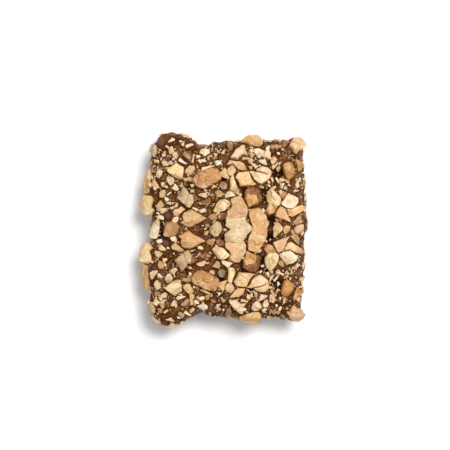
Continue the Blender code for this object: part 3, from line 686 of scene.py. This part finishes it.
def colour_almond(mesh, thickness, tone, towards, skin=None):
    """Stores each point's tone, paler towards one end, its brown skin, and how low in the chocolate
    it lies, once the almond is laid."""
    smeared = min(SMEAR_HEIGHT, SMEAR_SHARE * thickness)
    for name, kind in (("tint", "FLOAT_COLOR"), ("skin", "FLOAT"), ("smear_and_shade", "FLOAT")):
        store(mesh, name, kind)
    tint, cover, smear_and_shade = (mesh.attributes[name].data for name in ("tint", "skin", "smear_and_shade"))
    middle = sum((corner.co for corner in mesh.vertices), Vector()) / len(mesh.vertices)
    far = max((corner.co - middle).length for corner in mesh.vertices)
    for number, corner in enumerate(mesh.vertices):
        paler = 1 + TONE_SLOPE * towards.dot(corner.co - middle) / far
        tint[number].color = (*(part * paler**curve for part, curve in zip(tone, TONE_CURVES)), 1.0)
        cover[number].value = skin(corner.co) if skin else 0.0
        # How low each point lies: the finish darkens the lower sides with painted shade and covers the
        # foot with chocolate in its painted-shade colour.
        smear_and_shade[number].value = 1.0 - clamped(above_coat(corner.co) / smeared)


def varied(tone, dice):
    """A tone that is a little lighter or darker, redder or yellower than its name says."""
    light = dice.uniform(*TONE_LIGHT)
    cool = dice.uniform(*TONE_COOL)
    red, green, blue = TONES[tone]
    return (min(1.0, red * light), green * light * cool, blue * light * cool * cool)


def heading(dice):
    """Any direction across."""
    return across(dice.uniform(0, 2 * math.pi))


def outline_in_plane(outline, normal):
    """Corners in an almond's own plane that look like this outline from above."""
    upright = standing(normal).transposed()
    corners = []
    for x, y in outline:
        drop = (normal.x * x + normal.y * y) / normal.z
        corners.append((upright @ Vector((x * TENTH, y * TENTH, -drop * TENTH))).xy)
    return corners


def put_in_order(mesh):
    """Numbers the corners and faces by where they lie, because a remesh numbers them anew each run."""
    places = [tuple(corner.co) for corner in mesh.vertices]
    order = sorted(range(len(places)), key=places.__getitem__)
    rank = {old: new for new, old in enumerate(order)}
    faces = []
    for face in mesh.polygons:
        ring = [rank[corner] for corner in face.vertices]
        first = ring.index(min(ring))
        faces.append(ring[first:] + ring[:first])
    mesh.clear_geometry()
    mesh.from_pydata([places[old] for old in order], [], sorted(faces))


def chop_block(corners, thickness, dice):
    """A block with this outline, narrower above than below, with a chipped upper side."""
    bpy.ops.object.select_all(action="DESELECT")
    bpy.ops.mesh.primitive_circle_add(vertices=len(corners), fill_type="NGON", location=(0, 0, 0))
    block = bpy.context.object
    for point, corner in zip(block.data.vertices, corners):
        point.co = (corner * (1 + BLOCK_SPARE / corner.length)).to_3d() - UP * thickness / 2
    edit()
    bpy.ops.mesh.select_all(action="SELECT")
    bpy.ops.mesh.extrude_region_move(TRANSFORM_OT_translate={"value": (0, 0, thickness)})
    edit(False)
    for point in block.data.vertices:
        if point.co.z > 0:
            point.co.xy *= 1 - dice.uniform(*TOP_DRAFT)
    edit()
    wide = max(corner.length for corner in corners)
    turn = dice.uniform(0, 2 * math.pi)
    for _ in range(1 + sum(2 * wide > least for least in CROWN_WIDTHS)):
        flat = across(turn)
        edge = max(corner.dot(flat.xy) for corner in corners)
        low = flat * edge + UP * thickness * dice.uniform(*CROWN_EDGE)
        high = flat * edge * dice.uniform(*CROWN_REACH) + UP * thickness / 2
        rise = (high - low).normalized()
        chop_off(low, (rise.cross(UP).cross(rise)).normalized())
        turn += math.radians(dice.uniform(*CROWN_TURN))
    edit(False)
    modify(block, "REMESH", mode="VOXEL", voxel_size=BLOCK_GRAIN)
    put_in_order(block.data)
    modify(block, "SMOOTH", iterations=BLOCK_SMOOTHING)
    return block


def chip(mesh, start):
    """Breaks the upper side into chips, each tipped its own way, and stores how toasted each one is."""
    toasts = store(mesh, "toast")
    top = max(corner.co.z for corner in mesh.vertices)
    for number, corner in enumerate(mesh.vertices):
        place = corner.co.xy + start
        middle = noise.voronoi(place.to_3d() / CHIP_SIZE)[1][0]
        tip = 2 * noise.cell_vector(middle) - Vector((1, 1, 1))
        upper = max(0.0, corner.co.z) / top
        corner.co.z += CHIP_SLOPE * upper * tip.xy.dot(place - middle.xy * CHIP_SIZE)
        toasts[number].value = tip.z


def ridge(mesh):
    """The wavy ridges that fan out along an almond's outside, and where in a wave each point lies."""
    fan = store(mesh, "fan")
    for number, corner in enumerate(mesh.vertices):
        x, y = corner.co.xy / MM - RIDGES_FROM
        waver = RIDGE_WAVER * noise.noise(corner.co / RIDGE_WAVER_SPACING)
        fan[number].value = 2 * math.pi * (math.degrees(math.atan2(y, x)) + waver) / RIDGE_TURN
        upper = max(0.0, corner.co.z) / (THICKEST / 2)
        corner.co.z += RIDGE_DEPTH * upper * math.sin(fan[number].value)


def split(mesh):
    """The crack between the two halves of an almond, and how deep each point lies."""
    deep = store(mesh, "groove")
    start, end = (point * MM for point in SLIT_ENDS)
    along = end - start
    for number, corner in enumerate(mesh.vertices):
        share = clamped((corner.co.xy - start).dot(along) / along.length_squared)
        off = (corner.co.xy - start - along * share).length / SLIT_WIDTH
        if corner.co.z > 0:
            # How deep the crack is here; the finish also darkens it there as painted shade.
            deep[number].value = math.exp(-off * off)
            corner.co.z -= SLIT_DEPTH * deep[number].value


def skin_towards(skins, middle):
    """Brown skin from so far out from the middle in each of these directions, as seen from above."""
    edges = [(across(math.radians(turn)), start * MM) for turn, start in skins]

    def cover(place):
        beyond = max((place - middle).dot(flat) - start for flat, start in edges)
        return clamped(0.5 + beyond / SKIN_BLEND)

    return cover


def lay_landmark(almond, dice, look):
    """Models an almond that stands out, and lays it on both sides of the middle line."""
    x, y = almond.x * MM, almond.y * MM
    height = almond.height * MM if almond.height else None
    thickness = thickness_of(almond.width * MM)
    normal = resting_place(x, y, thickness, height, almond.tilt)[1]
    outline = almond.outline
    if y == 0:
        outline += tuple((right, -up) for right, up in reversed(outline))
    block = chop_block(outline_in_plane(outline, normal), thickness, look)
    chip(block.data, Vector((x, y)))
    if (almond.x, almond.y) == RIDGED:
        ridge(block.data)
    if (almond.x, almond.y) == SPLIT:
        split(block.data)
    modify(block, "DECIMATE", ratio=BLOCK_SHARE)
    for side in (1, -1) if y else (1,):
        place, normal = resting_place(x, side * y, thickness, height, almond.tilt)
        seat = seating(place, normal, 0, thickness, STAND_SHARE * thickness, random_lean(dice))
        lift = Matrix.Translation(normal * RIM_LIFT if height else Vector())
        piece = lay(block.data, lift @ seat @ Matrix.Diagonal((1, side, 1, 1)))
        if side == -1:
            piece.data.flip_normals()
        skins = [(side * direction, start) for direction, start in almond.skin]
        skin = skin_towards(skins, seat.translation) if skins else None
        colour_almond(piece.data, thickness, varied(almond.tone, look), heading(look), skin)
        yield piece, seat.translation.copy()
    bpy.data.objects.remove(block)


def add_landmarks(dice, look, taken):
    """The almonds that stand out, and their lobes."""
    laid = []
    for almond in PAIRED + CENTRED:
        for piece, middle in lay_landmark(almond, dice, look):
            taken.append((middle, (almond.length + almond.width) / 2))
            laid.append(piece)
    for lobe in LOBES:
        laid += [piece for piece, _ in lay_landmark(lobe, look, look)]
    return laid


def chop_small(kind):
    """One of this kind of smaller almond, a unit long, wide and thick, open in edit mode."""
    block = new_block(kind, 1.0)
    for direction, distance, lean in CUTS[kind]:
        flat, tip = across(math.radians(direction)), math.radians(lean)
        chop_off(flat * distance, flat * math.cos(tip) + UP * math.sin(tip))
    bpy.ops.mesh.select_all(action="SELECT")
    return block


def small_almonds():
    """One of each kind of smaller almond, with softened edges."""
    made = {}
    for kind in CUTS:
        made[kind] = chop_small(kind)
        bpy.ops.mesh.bevel(offset=SMALL_BEVEL, segments=1, affect="EDGES")
        bpy.ops.mesh.select_all(action="SELECT")
        bpy.ops.mesh.quads_convert_to_tris()
        bpy.ops.mesh.subdivide(number_cuts=1)
        edit(False)
    return made


def crumb_shapes():
    """The shapes of the crumbs, with few faces because there are so many."""
    made = []
    for kind in CRUMB_KINDS:
        made.append(chop_small(kind))
        edit(False)
    return made


def lay_chip(block, length, width, thickness, seat):
    """A copy of a smaller almond at its size, in its place."""
    return lay(block.data, seat @ Matrix.Diagonal((length * MM, width * MM, thickness, 1)))


def lay_small(block, length, width, thickness, seat, look):
    """One of the smaller almonds in its place, in any of their tones."""
    piece = lay_chip(block, length, width, thickness, seat)
    press_on_table(piece.data)
    skin = None
    if look.random() < SKIN_CHANCE:
        skin = skin_towards([(look.uniform(0, 360), look.uniform(*SKIN_START))], seat.translation)
    colour_almond(piece.data, thickness, varied(look.choice(SMALL_TONES), look), heading(look), skin)
    return piece


def lay_scraps(kinds, look):
    """The small scraps, on top of the coat."""
    laid = []
    for kind, x, y, length, width, turn, tone in SCRAPS:
        thickness = SCRAP_THICKNESS * width * MM
        for side in (1, -1):
            spot = x * MM, side * y * MM
            if fullness(*spot) < TOP_REACH:
                place = top_of_coat(*spot)
            else:
                place = side_of_coat(math.atan2(spot[1], spot[0]), SIDE_HIGH)
            lean = random_lean(look)
            stand_out = (1 - SCRAP_SINK) * thickness
            seat = seating(place, outward(place), side * turn, thickness, stand_out, lean)
            piece = lay_chip(kinds[kind], length, width, thickness, seat)
            colour_almond(piece.data, thickness, varied(tone, look), heading(look))
            laid.append(piece)
    return laid


def add_small_almonds(dice, look, taken):
    """The smaller almonds on top, on the sides and underneath, and the scraps."""
    kinds = small_almonds()
    laid = lay_scraps(kinds, look)
    for spread, pick, stand in ((TOP_SPREAD, pick_top, None), (SIDE_SPREAD, pick_side, SIDE_STAND)):
        for spot, size in throw(dice, spread, pick, taken):
            kind, length, width, turn = random_almond(dice, size)
            thickness = thickness_of(width * MM)
            stand_out = dice.uniform(*stand) if stand else STAND_SHARE * thickness
            seat = seating(spot, outward(spot), turn, thickness, stand_out, random_lean(dice))
            laid.append(lay_small(kinds[kind], length, width, thickness, seat, look))
    under = [(Vector((0, 0, SLAB_FOOT)), FOOT_SPREAD.largest)]
    pressed = [("block", FOOT_SPREAD.largest, FOOT_SPREAD.largest * WIDTH_SHARE[1], 0, under[0][0])]
    for spot, size in throw(dice, FOOT_SPREAD, pick_foot, under):
        pressed.append((*random_almond(dice, size), spot))
    for kind, length, width, turn, spot in pressed:
        thickness = thickness_of(width * MM)
        seat = seating(spot, -UP, turn, thickness, FOOT_STAND, (0.0, 0.0))
        laid.append(lay_small(kinds[kind], length, width, thickness, seat, look))
    for block in kinds.values():
        bpy.data.objects.remove(block)
    return laid


def tree_of(pieces):
    """For finding the nearest point of these pieces."""
    points, faces = [], []
    for piece in pieces:
        first = len(points)
        points += [corner.co.copy() for corner in piece.data.vertices]
        faces += [[first + corner for corner in face.vertices] for face in piece.data.polygons]
    return BVHTree.FromPolygons(points, faces)


def cut_across(axis):
    """Cuts the open block's edges along this axis into finer steps."""
    shape = bmesh.from_edit_mesh(bpy.context.object.data)
    bpy.ops.mesh.select_mode(type="EDGE")
    bpy.ops.mesh.select_all(action="DESELECT")
    for line in shape.edges:
        along = (line.verts[1].co - line.verts[0].co).normalized()
        line.select = abs(along[axis]) > ALONG_AXIS
    bmesh.update_edit_mesh(bpy.context.object.data)
    bpy.ops.mesh.subdivide(number_cuts=COAT_FINER)


def nearness(place, x, y, radius):
    """1 at x, y and the same distance below the middle line, and less and less further out."""
    off = math.hypot(place.x - x * MM, abs(place.y) - y * MM) / (radius * MM)
    return math.exp(-off * off)


def hollowness(place):
    """How deep the coat is hollowed at this point."""
    if place.z < SLAB_WAIST:
        return 0.0
    return sum(depth * MM * nearness(place, x, y, radius) for x, y, radius, depth in HOLLOWS)


def dust_and_sheen_at(place):
    """How much almond dust, and on the right shoulder painted sheen, lightens the chocolate at this
    point. It fades out down the sides.
    """
    high = clamped((place.z - SLAB_WAIST) / DUST_AND_SHEEN_FADE)
    return high * min(1.0, sum(nearness(place, *patch) for patch in DUST_AND_SHEEN_PATCHES))


def make_coat(almonds):
    """The chocolate coat, which climbs a little up each almond, and its faces' areas, added up."""
    coat = new_block("chocolate_coat", 2.0)
    bpy.ops.mesh.subdivide(number_cuts=COAT_CUTS)
    cut_across(0)
    cut_across(1)
    edit(False)
    bend = COAT_BUNCHING * math.pi / 2
    for corner in coat.data.vertices:
        x, y, z = (math.sin(bend * share) / math.sin(bend) for share in corner.co)
        plain = Vector((x * SLAB_WIDTH / 2, y * SLAB_LENGTH / 2, z * (RISE if z > 0 else DROP)))
        corner.co = on_coat(plain)
    coat.data.update()
    areas = list(accumulate(face.area for face in coat.data.polygons))
    shades = []
    for corner in coat.data.vertices:
        place = corner.co.copy()
        normal = outward(place)
        place += normal * lump(place)
        near = almonds.find_nearest(place, MENISCUS_REACH)[3]
        close = 0.0 if near is None else 1 - near / MENISCUS_REACH
        hollow = hollowness(place)
        corner.co = place + normal * (MENISCUS * close**2 - hollow)
        # Painted shade: the colour darkens close to the almonds and in the hollows.
        shades.append(min(1.0, NEAR_SHADE * close**2 + max(0.0, hollow) / HOLLOW_DARK))
    store(coat.data, "shade").foreach_set("value", shades)
    dust_and_sheen = [dust_and_sheen_at(corner.co) for corner in coat.data.vertices]
    store(coat.data, "dust_and_sheen").foreach_set("value", dust_and_sheen)
    roughen(coat, COAT_WAVES)
    press_on_table(coat.data)
    return coat, areas


def spread_over(coat, areas, tries, dice):
    """Spots spread evenly over the coat's faces."""
    faces = coat.data.polygons
    corners = coat.data.vertices
    for face in dice.choices(faces, cum_weights=areas, k=tries):
        a, b, c = (corners[corner].co for corner in face.vertices[:3])
        yield a + (b - a) * dice.random() + (c - b) * dice.random(), face.normal.copy()


def crumb_spots(coat, areas, almonds, tries, dice):
    """Where the crumbs lie: in patches, mostly where no almond covers the coat. Each has its own dice."""
    for spot, normal in spread_over(coat, areas, tries, dice):
        own = random.Random(dice.random())
        share = CRUMB_SHARE + CRUMB_UNEVENNESS * noise.noise(spot / CRUMB_PATCH)
        if spot.z > SLAB_WAIST:
            share += sum(more * nearness(spot, x, y, radius) for x, y, radius, more in CRUMB_PATCHES)
        if own.random() > share:
            continue
        hit, facing, _, _ = almonds.ray_cast(spot + normal * CLEAR_ABOVE, -normal, CLEAR_ABOVE)
        if hit is None:
            yield spot, normal, own
        elif own.random() < CRUMB_ON_ALMOND:
            yield hit, facing, own


def scatter(crumbs, shapes, coat, areas, almonds):
    """Crumbs all over the piece, as one mesh."""
    points, faces, tints = [], [], []
    spots = crumb_spots(coat, areas, almonds, crumbs.tries, random.Random(crumbs.seed))
    for spot, normal, dice in spots:
        shape = dice.choice(shapes).data
        length = crumbs.shortest * (crumbs.longest / crumbs.shortest) ** (dice.random() ** CRUMB_SIZES)
        width = length * dice.uniform(*CRUMB_WIDTHS)
        thickness = width * dice.uniform(*CRUMB_THICKNESSES)
        lean = (dice.uniform(*CRUMB_LEAN), dice.uniform(*CRUMB_LEAN))
        stand_out = thickness * MM * (0.5 - CRUMB_SINK)
        seat = seating(spot, normal, dice.uniform(0, 360), 0, stand_out, lean)
        seat = seat @ Matrix.Diagonal((length * MM, width * MM, thickness * MM, 1))
        first = len(points)
        points += [seat @ corner.co for corner in shape.vertices]
        faces += [[first + corner for corner in face.vertices] for face in shape.polygons]
        tints += [*varied(dice.choice(CRUMB_TONES), dice), 1.0] * len(shape.vertices)
    mesh = bpy.data.meshes.new(crumbs.name)
    mesh.from_pydata(points, [], faces)
    press_on_table(mesh)
    store(mesh, "tint", "FLOAT_COLOR").foreach_set("color", tints)
    return add_object(crumbs.name, mesh)


class Finish:
    """A new material and its nodes."""

    def __init__(self, name):
        self.material = bpy.data.materials.new(name)
        self.material.use_nodes = True
        self.tree = self.material.node_tree
        self.shader = self.tree.nodes["Principled BSDF"]
        self.place = self.add("ShaderNodeTexCoord").outputs["Object"]

    def add(self, kind, **settings):
        node = self.tree.nodes.new(kind)
        for setting, value in settings.items():
            setattr(node, setting, value)
        return node

    def put(self, socket, value):
        """Sets a socket to a number or a colour, or links it."""
        if isinstance(value, (int, float)):
            socket.default_value = value
        elif isinstance(value, tuple):
            socket.default_value = (*value, 1.0)
        else:
            self.tree.links.new(value, socket)

    def noise(self, spacing, detail=2.0, roughness=0.5):
        """Noise with this spacing in metres, from 0 to 1."""
        node = self.add("ShaderNodeTexNoise")
        node.inputs["Scale"].default_value = 1 / spacing
        node.inputs["Detail"].default_value = detail
        node.inputs["Roughness"].default_value = roughness
        self.put(node.inputs["Vector"], self.place)
        return node.outputs["Fac"]

    def attribute(self, name, output="Fac"):
        return self.add("ShaderNodeAttribute", attribute_name=name).outputs[output]

    def sums(self, operation, *values):
        node = self.add("ShaderNodeMath", operation=operation)
        for socket, value in zip(node.inputs, values):
            self.put(socket, value)
        return node.outputs[0]

    def between(self, value, low, high, to_low=0.0, to_high=1.0):
        """Goes smoothly from one number to another as the value goes from low to high."""
        node = self.add("ShaderNodeMapRange", interpolation_type="SMOOTHSTEP")
        limits = {"From Min": low, "From Max": high, "To Min": to_low, "To Max": to_high}
        for name, number in (*limits.items(), ("Value", value)):
            self.put(node.inputs[name], number)
        return node.outputs["Result"]

    def mix(self, share, first, second, blend="MIX"):
        """Mixes two colours."""
        node = self.add("ShaderNodeMix", data_type="RGBA", blend_type=blend)
        for number, value in ((0, share), (6, first), (7, second)):
            self.put(node.inputs[number], value)
        return node.outputs[2]

    def bumps(self, *layers):
        """Bumps from pairs of height and depth in metres."""
        normal = None
        for height, depth in layers:
            node = self.add("ShaderNodeBump")
            node.inputs["Strength"].default_value = 1.0
            node.inputs["Distance"].default_value = depth
            self.put(node.inputs["Height"], height)
            if normal:
                self.put(node.inputs["Normal"], normal)
            normal = node.outputs["Normal"]
        self.put(self.shader.inputs["Normal"], normal)

    def set(self, **values):
        for name, value in values.items():
            self.put(self.shader.inputs[name.replace("_", " ")], value)


# First, the colour of chocolate in shade: painted shade on the coat near the almonds and in its hollows,
# and the chocolate at the almonds' feet
CHOCOLATE_IN_SHADE = (0.014, 0.004, 0.0005)
CHOCOLATE_DARK = (0.053, 0.0122, 0.0008)
CHOCOLATE_LIGHT = (0.151, 0.0515, 0.0085)
CHOCOLATE_DUST_AND_SHEEN = (0.20, 0.098, 0.052)
CHOCOLATE_DUSTED = (0.37, 0.203, 0.10)
CHOCOLATE_SHEEN = (1.0, 0.52, 0.22)
ALMOND_PALE = (0.88, 0.74, 0.5)
SKIN_DARK = (0.14, 0.042, 0.012)
SKIN_LIGHT = (0.42, 0.18, 0.062)
TABLE_TONES = ((0.93, 0.93, 0.93), (0.95, 0.95, 0.95))

# What makes the chocolate lighter and darker: the noise's spacing and detail, and its limits
CHOCOLATE_CLOUDS = ((4.0 * MM, 3.0, 0.35, 0.65), (0.7 * MM, 3.0, 0.3, 0.7), (0.3 * MM, 2.0, 0.3, 0.7))
CLOUD_SHARE = 0.4
CHOCOLATE_TONES = (0.1, 1.1)

# Other noises in the chocolate: spacing, detail and roughness, and below each its limits
SPECK_NOISE = (0.3 * MM, 2.0, 0.6)
SPECKS = (0.53, 0.66)
PATCH_NOISE = (2.5 * MM, 2.0)
PATCHES = (0.35, 0.6, 0.15, 1.0)
GLOSS_NOISE = (1.8 * MM, 2.0)
GLOSS = (0.3, 0.7, 0.36, 0.56)
CHOCOLATE_GRAIN = (0.6 * MM, 4.0, 0.6)
CHOCOLATE_DEPTH = 0.2 * MM
MOST_DUST_AND_SHEEN = 0.8

# The noises in the almonds, and the limits of their skin and of the chocolate on them
ALMOND_PATCHES = (2.4 * MM, 2.0)
ALMOND_BROAD = (1.6 * MM, 3.0)
ALMOND_FINE = (0.35 * MM, 3.0, 0.6)
BROAD_DEPTH = 0.4 * MM
FINE_DEPTH = 0.14 * MM
SKIN_EDGE = (0.6 * MM, 3.0)
SKIN_COVER = (0.42, 0.62)
SKIN_STREAKS = (0.5 * MM, 3.0, 0.6)
SKIN_TONES = (0.35, 0.7)
SMEAR_EDGE = (0.8 * MM, 3.0, 0.6)
SMEAR_RAGGED = 1.6
SMEAR_COVER = (0.75, 1.05)
ALMOND_ROUGH = 0.6
SMEAR_ROUGH = 0.42

# The layers of an almond's colour, from the first: what each follows, from where to where, its share
# at most, its colour, and how it's mixed with what lies under it
ALMOND_LAYERS = (
    ("patches", 0.5, 0.75, 0.5, ALMOND_PALE, "MIX"),
    ("toast", 0.0, -1.0, 0.2, ALMOND_PALE, "MIX"),
    ("broad", 0.42, 0.7, 0.6, (0.84, 0.66, 0.5), "MULTIPLY"),
    ("toast", 0.0, 1.0, 0.5, (0.9, 0.76, 0.6), "MULTIPLY"),
    # Painted shade: the lower sides, close to the chocolate, are darker
    ("low", 0.1, 0.85, 0.9, (0.72, 0.5, 0.32), "MULTIPLY"),
    ("fine", 0.62, 0.34, 0.75, (0.72, 0.6, 0.46), "MULTIPLY"),
    # Painted shade: darker deep in the crack
    ("groove", 0.1, 0.9, 1.0, (0.5, 0.3, 0.16), "MULTIPLY"),
    ("ridges", 0.0, 0.9, 0.55, (0.6, 0.4, 0.22), "MULTIPLY"),
    ("ridges", -0.2, -1.0, 0.12, ALMOND_PALE, "MIX"),
)


def chocolate_finish():
    """Milk chocolate with a satin sheen, in places lightened by fine almond dust and, on the right
    shoulder, by painted sheen.
    """
    finish = Finish("chocolate")
    tone = 0.0
    for spacing, detail, low, high in CHOCOLATE_CLOUDS:
        cloud = finish.between(finish.noise(spacing, detail), low, high)
        tone = finish.sums("ADD", tone, finish.sums("MULTIPLY", cloud, CLOUD_SHARE))
    colour = finish.mix(finish.between(tone, *CHOCOLATE_TONES), CHOCOLATE_DARK, CHOCOLATE_LIGHT)
    specks = finish.between(finish.noise(*SPECK_NOISE), *SPECKS)
    patches = finish.between(finish.noise(*PATCH_NOISE), *PATCHES)
    colour = finish.mix(finish.sums("MULTIPLY", specks, patches), colour, CHOCOLATE_DUSTED)
    # Almond dust, and on the right shoulder painted sheen, lighten the chocolate
    dull = finish.between(finish.attribute("dust_and_sheen"), 0.0, 1.0, 0.0, MOST_DUST_AND_SHEEN)
    colour = finish.mix(dull, colour, CHOCOLATE_DUST_AND_SHEEN)
    # Painted shade near the almonds and in the hollows
    colour = finish.mix(finish.attribute("shade"), colour, CHOCOLATE_IN_SHADE)
    gloss = finish.between(finish.noise(*GLOSS_NOISE), *GLOSS)
    finish.bumps((finish.noise(*CHOCOLATE_GRAIN), CHOCOLATE_DEPTH))
    finish.set(Base_Color=colour, Roughness=gloss, Specular_IOR_Level=0.16, Specular_Tint=CHOCOLATE_SHEEN)
    return finish.material


def almond_finish():
    """Matt roasted almond with brown skin on some faces, painted shade on its lower sides, and smears of
    chocolate at its foot in the colour of chocolate in shade.
    """
    finish = Finish("almond")
    follow = {
        "patches": finish.noise(*ALMOND_PATCHES),
        "toast": finish.attribute("toast"),
        "broad": finish.noise(*ALMOND_BROAD),
        "low": finish.attribute("smear_and_shade"),
        "fine": finish.noise(*ALMOND_FINE),
        "groove": finish.attribute("groove"),
        "ridges": finish.sums("SINE", finish.attribute("fan")),
    }
    colour = finish.attribute("tint", "Color")
    for followed, low, high, most, layer, blend in ALMOND_LAYERS:
        colour = finish.mix(finish.between(follow[followed], low, high, 0.0, most), colour, layer, blend)
    ragged = finish.sums("SUBTRACT", finish.noise(*SKIN_EDGE), 0.5)
    cover = finish.between(finish.sums("ADD", finish.attribute("skin"), ragged), *SKIN_COVER)
    streaks = finish.between(finish.noise(*SKIN_STREAKS), *SKIN_TONES)
    colour = finish.mix(cover, colour, finish.mix(streaks, SKIN_DARK, SKIN_LIGHT))
    # Chocolate at the foot, painted in the colour of chocolate in shade
    ragged = finish.sums("SUBTRACT", finish.noise(*SMEAR_EDGE), 0.5)
    smear_and_shade = finish.sums("ADD", follow["low"], finish.sums("MULTIPLY", ragged, SMEAR_RAGGED))
    smear_and_shade = finish.between(smear_and_shade, *SMEAR_COVER)
    colour = finish.mix(smear_and_shade, colour, CHOCOLATE_IN_SHADE)
    finish.bumps((follow["broad"], BROAD_DEPTH), (follow["fine"], FINE_DEPTH))
    finish.set(Base_Color=colour, Roughness=finish.between(smear_and_shade, 0.0, 1.0, ALMOND_ROUGH, SMEAR_ROUGH),
               Specular_IOR_Level=0.35, Subsurface_Weight=0.06, Subsurface_Scale=0.8 * MM)
    return finish.material


def table_finish():
    finish = Finish("pale_table")
    finish.set(Base_Color=finish.mix(finish.noise(20.0 * MM), *TABLE_TONES), Roughness=0.9,
               Specular_IOR_Level=0.1)
    return finish.material


def add_table():
    bpy.ops.object.select_all(action="DESELECT")
    bpy.ops.mesh.primitive_plane_add(size=TABLE_SIZE)
    table = bpy.context.object
    table.name = "table"
    table.data.materials.append(table_finish())


def add_camera():
    """Looks straight down on the piece, at the photograph's scale."""
    lens = bpy.data.cameras.new("camera")
    lens.lens = LENS
    lens.sensor_width = SENSOR
    lens.clip_start = NEAREST_SEEN
    camera = add_object("camera", lens)
    camera.location = PICTURE_MIDDLE + UP * PICTURE_WIDTH * LENS / SENSOR
    bpy.context.scene.camera = camera


def add_lights():
    """Soft light from the upper right, and weaker ones from above and from the lower left."""
    for name, (place, size, power) in LIGHTS.items():
        lamp = bpy.data.lights.new(name, "AREA")
        lamp.shape = "SQUARE"
        lamp.size = size
        lamp.energy = power
        light = add_object(name, lamp)
        light.location = place
        light.rotation_euler = (-Vector(place)).to_track_quat("-Z", "Y").to_euler()
    world = bpy.data.worlds.new("room")
    world.use_nodes = True
    background = world.node_tree.nodes["Background"].inputs
    background["Color"].default_value = (1, 1, 1, 1)
    background["Strength"].default_value = ROOM_LIGHT
    bpy.context.scene.world = world


def add_almonds():
    """All the almonds, in the order in which the solid has them."""
    dice, look = random.Random(SEED), random.Random(LOOK_SEED)
    taken = []
    large = add_landmarks(dice, look, taken)
    small = add_small_almonds(dice, look, taken)
    tree = tree_of(large + small)
    return join("almond_chunks", large), join("almond_chips", small), tree


def dress(piece, material):
    """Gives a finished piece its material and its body."""
    piece.data.materials.clear()
    piece.data.materials.append(material)
    select(piece)
    bpy.ops.object.shade_smooth_by_angle(angle=math.radians(CREASE))
    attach(piece, "root")


def main():
    add_camera()
    add_lights()
    add_table()
    chunks, chips, tree = add_almonds()
    for almonds in (chunks, chips):
        roughen(almonds, ALMOND_WAVES)
        press_on_table(almonds.data)
    coat, areas = make_coat(tree)
    shapes = crumb_shapes()
    crumbs = scatter(CRUMBS, shapes, coat, areas, tree)
    dust = scatter(DUST, shapes, coat, areas, tree)
    for shape in shapes:
        bpy.data.objects.remove(shape)
    almond = almond_finish()
    dress(coat, chocolate_finish())
    for piece in (chunks, chips, crumbs, dust):
        dress(piece, almond)
    for piece in (coat, chunks, chips, crumbs, dust):
        move_below(piece.data)
    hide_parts("english_toffee")
    bpy.context.scene.view_settings.view_transform = "Standard"


main()
